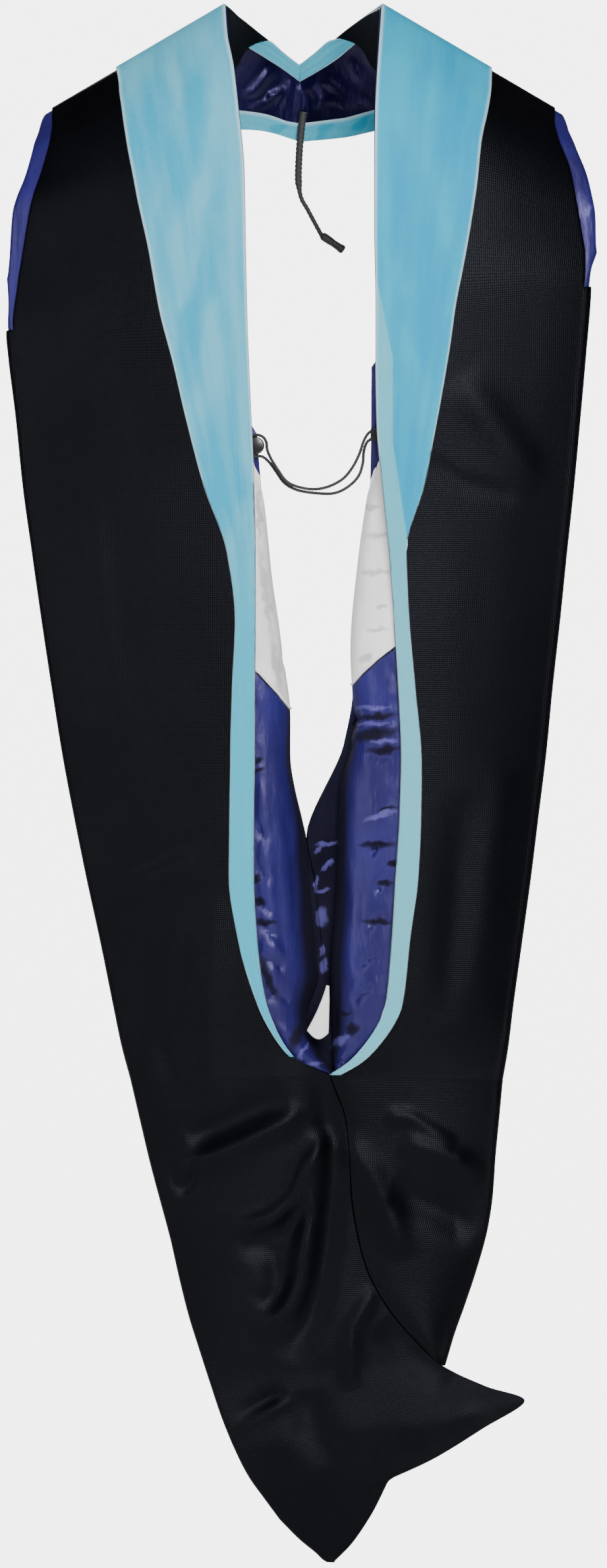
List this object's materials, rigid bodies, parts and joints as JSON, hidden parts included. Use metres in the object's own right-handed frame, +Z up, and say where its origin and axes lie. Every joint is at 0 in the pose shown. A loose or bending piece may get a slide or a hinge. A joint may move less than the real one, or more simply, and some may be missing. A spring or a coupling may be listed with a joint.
{
  "type": "academic hood",
  "caption": "Black academic hood with a light blue velvet edge, navy satin lining with a white chevron, neck band, cords and a twisted pointed tail, as it hangs down a wearer's back.",
  "frame": {"origin": "midway between the two shoulder peaks, on the shoulder ridge where the hood sits round the neck", "axes": "+Z up, +Y the way the wearer faces, +X to the right of somebody who looks at the wearer's back"},
  "size_m": [0.4055, 0.1561, 1.0677],
  "materials": {
    "black_cloth": "matt black woven gown cloth",
    "blue_velvet": "light blue short-pile velvet",
    "navy_satin": "glossy navy satin",
    "white_satin": "silvery white satin",
    "black_cord": "twisted black cord",
    "black_button": "polished black plastic"
  },
  "bodies": {
    "root": {"shell_left": "black_cloth", "shell_right": "black_cloth", "velvet_left": "blue_velvet", "velvet_right": "blue_velvet", "lining_upper_left": "navy_satin", "lining_upper_right": "navy_satin", "lining_chevron_left": "white_satin", "lining_chevron_right": "white_satin", "lining_lower_left": "navy_satin", "lining_lower_right": "navy_satin", "neckband_lining": "navy_satin", "neckband_strip": "blue_velvet", "neckband_binding": "blue_velvet", "neckband_corner_left": "black_cloth", "neckband_corner_right": "black_cloth", "front_cord": "black_cord", "cord_tip": "black_cord", "back_cord": "black_cord", "cord_button": "black_button", "cord_tab": "black_cord", "white_tab": "white_satin"}
  },
  "joints": []
}
